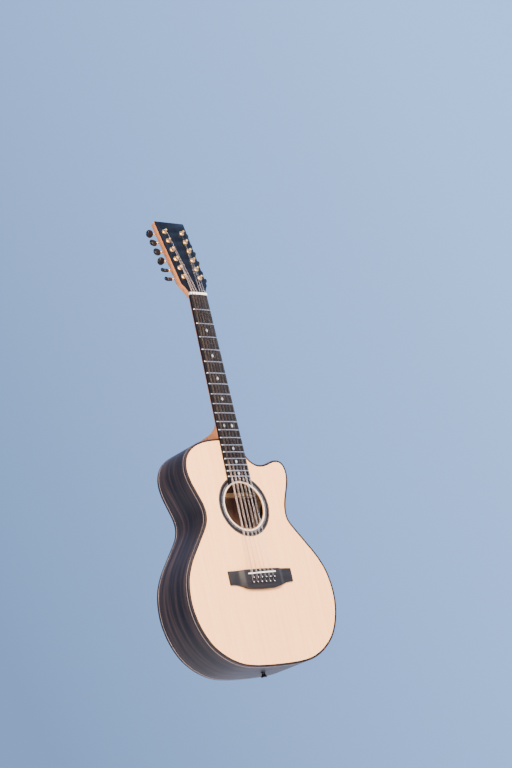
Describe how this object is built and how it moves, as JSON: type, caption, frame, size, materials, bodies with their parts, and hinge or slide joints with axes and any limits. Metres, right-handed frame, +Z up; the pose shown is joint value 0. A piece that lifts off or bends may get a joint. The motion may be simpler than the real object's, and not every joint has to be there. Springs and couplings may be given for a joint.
{
  "type": "twelve-string acoustic guitar",
  "caption": "Flat-top acoustic guitar with a rounded cutaway, paired steel strings, a long angled head and dark tuner buttons.",
  "frame": {"origin": "at the tail on the centre line, level with the lowest point of the ribs, 59 mm behind the soundboard's outer face", "axes": "+Z up along the neck, +X to the treble side, +Y from the soundboard to the back"},
  "size_m": [0.406, 0.1312, 1.0657],
  "materials": {
    "spruce_top": "satin",
    "rosewood": "gloss",
    "binding": "gloss",
    "inner_wood": "raw",
    "neck_wood": "satin",
    "ebony": "satin",
    "head_gloss": "gloss",
    "button_ebony": "satin",
    "bone": "satin",
    "gold": "polished",
    "strings": "wound",
    "steel": "polished"
  },
  "bodies": {
    "guitar": {"soundboard": "spruce_top", "back_plate": "rosewood", "rib_bass": "rosewood", "rib_treble": "rosewood", "top_binding": "binding", "back_binding": "binding", "top_lining": "inner_wood", "back_lining": "inner_wood", "neck_block": "inner_wood", "tail_block": "inner_wood", "top_braces": "inner_wood", "back_braces": "inner_wood", "bridge_plate": "inner_wood", "bridge": "ebony", "saddle": "bone", "nut": "bone", "neck": "neck_wood", "heel_cap": "ebony", "truss_rod": "steel", "fingerboard": "ebony", "head_veneer": "head_gloss", "tuner_plate_bass": "gold", "tuner_plate_treble": "gold", "end_pin": "ebony", "string_01": "strings", "string_02": "strings", "string_03": "strings", "string_04": "strings", "string_05": "strings", "string_06": "strings", "string_07": "strings", "string_08": "strings", "string_09": "strings", "string_10": "strings", "string_11": "strings", "string_12": "strings"},
    "post_bass_1": {"tuner_post_bass_1": "gold"},
    "button_bass_1": {"tuner_button_bass_1": "button_ebony"},
    "post_bass_2": {"tuner_post_bass_2": "gold"},
    "button_bass_2": {"tuner_button_bass_2": "button_ebony"},
    "post_bass_3": {"tuner_post_bass_3": "gold"},
    "button_bass_3": {"tuner_button_bass_3": "button_ebony"},
    "post_bass_4": {"tuner_post_bass_4": "gold"},
    "button_bass_4": {"tuner_button_bass_4": "button_ebony"},
    "post_bass_5": {"tuner_post_bass_5": "gold"},
    "button_bass_5": {"tuner_button_bass_5": "button_ebony"},
    "post_bass_6": {"tuner_post_bass_6": "gold"},
    "button_bass_6": {"tuner_button_bass_6": "button_ebony"},
    "post_treble_1": {"tuner_post_treble_1": "gold"},
    "button_treble_1": {"tuner_button_treble_1": "button_ebony"},
    "post_treble_2": {"tuner_post_treble_2": "gold"},
    "button_treble_2": {"tuner_button_treble_2": "button_ebony"},
    "post_treble_3": {"tuner_post_treble_3": "gold"},
    "button_treble_3": {"tuner_button_treble_3": "button_ebony"},
    "post_treble_4": {"tuner_post_treble_4": "gold"},
    "button_treble_4": {"tuner_button_treble_4": "button_ebony"},
    "post_treble_5": {"tuner_post_treble_5": "gold"},
    "button_treble_5": {"tuner_button_treble_5": "button_ebony"},
    "post_treble_6": {"tuner_post_treble_6": "gold"},
    "button_treble_6": {"tuner_button_treble_6": "button_ebony"}
  },
  "joints": [
    {"name": "button_bass_1_turn", "type": "hinge", "parent": "guitar", "child": "button_bass_1", "pos_m": [-0.0236, -0.03353, 0.90258], "axis": [-1, 0, 0], "continuous": true},
    {"name": "post_bass_1_turn", "type": "hinge", "parent": "guitar", "child": "post_bass_1", "pos_m": [-0.0236, -0.05448, 0.90074], "axis": [0, -0.9744, 0.225], "continuous": true},
    {"name": "button_bass_2_turn", "type": "hinge", "parent": "guitar", "child": "button_bass_2", "pos_m": [-0.0239, -0.0279, 0.92694], "axis": [-1, 0, 0], "continuous": true},
    {"name": "post_bass_2_turn", "type": "hinge", "parent": "guitar", "child": "post_bass_2", "pos_m": [-0.0239, -0.04885, 0.9251], "axis": [0, -0.9744, 0.225], "continuous": true},
    {"name": "button_bass_3_turn", "type": "hinge", "parent": "guitar", "child": "button_bass_3", "pos_m": [-0.0242, -0.02217, 0.95178], "axis": [-1, 0, 0], "continuous": true},
    {"name": "post_bass_3_turn", "type": "hinge", "parent": "guitar", "child": "post_bass_3", "pos_m": [-0.0242, -0.04312, 0.94995], "axis": [0, -0.9744, 0.225], "continuous": true},
    {"name": "button_bass_4_turn", "type": "hinge", "parent": "guitar", "child": "button_bass_4", "pos_m": [-0.0245, -0.01621, 0.9776], "axis": [-1, 0, 0], "continuous": true},
    {"name": "post_bass_4_turn", "type": "hinge", "parent": "guitar", "child": "post_bass_4", "pos_m": [-0.0245, -0.03716, 0.97577], "axis": [0, -0.9744, 0.225], "continuous": true},
    {"name": "button_bass_5_turn", "type": "hinge", "parent": "guitar", "child": "button_bass_5", "pos_m": [-0.0248, -0.01036, 1.00294], "axis": [-1, 0, 0], "continuous": true},
    {"name": "post_bass_5_turn", "type": "hinge", "parent": "guitar", "child": "post_bass_5", "pos_m": [-0.0248, -0.03131, 1.0011], "axis": [0, -0.9744, 0.225], "continuous": true},
    {"name": "button_bass_6_turn", "type": "hinge", "parent": "guitar", "child": "button_bass_6", "pos_m": [-0.0251, -0.00451, 1.02827], "axis": [-1, 0, 0], "continuous": true},
    {"name": "post_bass_6_turn", "type": "hinge", "parent": "guitar", "child": "post_bass_6", "pos_m": [-0.0251, -0.02546, 1.02644], "axis": [0, -0.9744, 0.225], "continuous": true},
    {"name": "button_treble_1_turn", "type": "hinge", "parent": "guitar", "child": "button_treble_1", "pos_m": [0.0236, -0.03353, 0.90258], "axis": [1, 0, 0], "continuous": true},
    {"name": "post_treble_1_turn", "type": "hinge", "parent": "guitar", "child": "post_treble_1", "pos_m": [0.0236, -0.05448, 0.90074], "axis": [0, -0.9744, 0.225], "continuous": true},
    {"name": "button_treble_2_turn", "type": "hinge", "parent": "guitar", "child": "button_treble_2", "pos_m": [0.0239, -0.0279, 0.92694], "axis": [1, 0, 0], "continuous": true},
    {"name": "post_treble_2_turn", "type": "hinge", "parent": "guitar", "child": "post_treble_2", "pos_m": [0.0239, -0.04885, 0.9251], "axis": [0, -0.9744, 0.225], "continuous": true},
    {"name": "button_treble_3_turn", "type": "hinge", "parent": "guitar", "child": "button_treble_3", "pos_m": [0.0242, -0.02217, 0.95178], "axis": [1, 0, 0], "continuous": true},
    {"name": "post_treble_3_turn", "type": "hinge", "parent": "guitar", "child": "post_treble_3", "pos_m": [0.0242, -0.04312, 0.94995], "axis": [0, -0.9744, 0.225], "continuous": true},
    {"name": "button_treble_4_turn", "type": "hinge", "parent": "guitar", "child": "button_treble_4", "pos_m": [0.0245, -0.01621, 0.9776], "axis": [1, 0, 0], "continuous": true},
    {"name": "post_treble_4_turn", "type": "hinge", "parent": "guitar", "child": "post_treble_4", "pos_m": [0.0245, -0.03716, 0.97577], "axis": [0, -0.9744, 0.225], "continuous": true},
    {"name": "button_treble_5_turn", "type": "hinge", "parent": "guitar", "child": "button_treble_5", "pos_m": [0.0248, -0.01036, 1.00294], "axis": [1, 0, 0], "continuous": true},
    {"name": "post_treble_5_turn", "type": "hinge", "parent": "guitar", "child": "post_treble_5", "pos_m": [0.0248, -0.03131, 1.0011], "axis": [0, -0.9744, 0.225], "continuous": true},
    {"name": "button_treble_6_turn", "type": "hinge", "parent": "guitar", "child": "button_treble_6", "pos_m": [0.0251, -0.00451, 1.02827], "axis": [1, 0, 0], "continuous": true},
    {"name": "post_treble_6_turn", "type": "hinge", "parent": "guitar", "child": "post_treble_6", "pos_m": [0.0251, -0.02546, 1.02644], "axis": [0, -0.9744, 0.225], "continuous": true}
  ],
  "couplings": [
    {"joint": "post_bass_1_turn", "follows": "button_bass_1_turn", "ratio": 0.071429},
    {"joint": "post_bass_2_turn", "follows": "button_bass_2_turn", "ratio": 0.071429},
    {"joint": "post_bass_3_turn", "follows": "button_bass_3_turn", "ratio": 0.071429},
    {"joint": "post_bass_4_turn", "follows": "button_bass_4_turn", "ratio": 0.071429},
    {"joint": "post_bass_5_turn", "follows": "button_bass_5_turn", "ratio": 0.071429},
    {"joint": "post_bass_6_turn", "follows": "button_bass_6_turn", "ratio": 0.071429},
    {"joint": "post_treble_1_turn", "follows": "button_treble_1_turn", "ratio": -0.071429},
    {"joint": "post_treble_2_turn", "follows": "button_treble_2_turn", "ratio": -0.071429},
    {"joint": "post_treble_3_turn", "follows": "button_treble_3_turn", "ratio": -0.071429},
    {"joint": "post_treble_4_turn", "follows": "button_treble_4_turn", "ratio": -0.071429},
    {"joint": "post_treble_5_turn", "follows": "button_treble_5_turn", "ratio": -0.071429},
    {"joint": "post_treble_6_turn", "follows": "button_treble_6_turn", "ratio": -0.071429}
  ]
}
